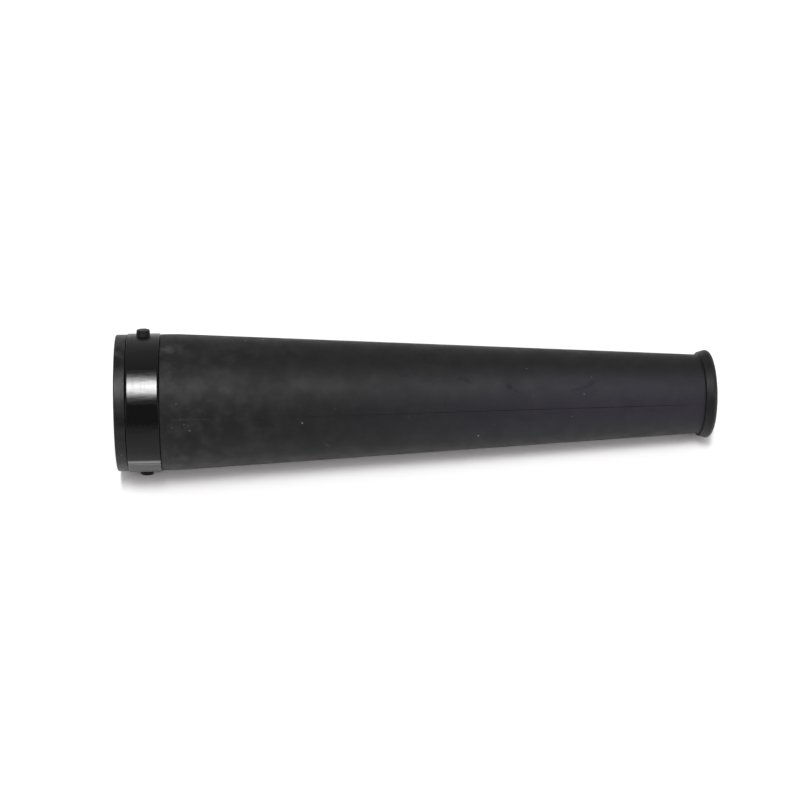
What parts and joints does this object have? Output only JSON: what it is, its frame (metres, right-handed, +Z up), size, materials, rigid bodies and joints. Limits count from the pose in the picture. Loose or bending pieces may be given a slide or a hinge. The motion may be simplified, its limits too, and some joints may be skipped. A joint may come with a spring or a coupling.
{
  "type": "leaf blower nozzle tube",
  "caption": "Straight tapered rubber nozzle tube for a leaf blower, with a glossy split bayonet ring and opposed locking pins behind the sealing lip at the big end, and a bead round the tip.",
  "frame": {"origin": "on the floor under the middle of the nozzle as it lies at rest", "axes": "+X along the nozzle from the big end to the tip, +Z up, -Y the side towards which the lower bayonet pin points"},
  "size_m": [0.2674, 0.0612, 0.0618],
  "materials": {
    "tube_rubber": "matt black moulded rubber with a fine mould seam, light dust and small scuffs",
    "ring_plastic": "gloss black moulded plastic"
  },
  "bodies": {
    "root": {"nozzle_tube": "tube_rubber", "bayonet_ring": "ring_plastic"}
  },
  "joints": []
}
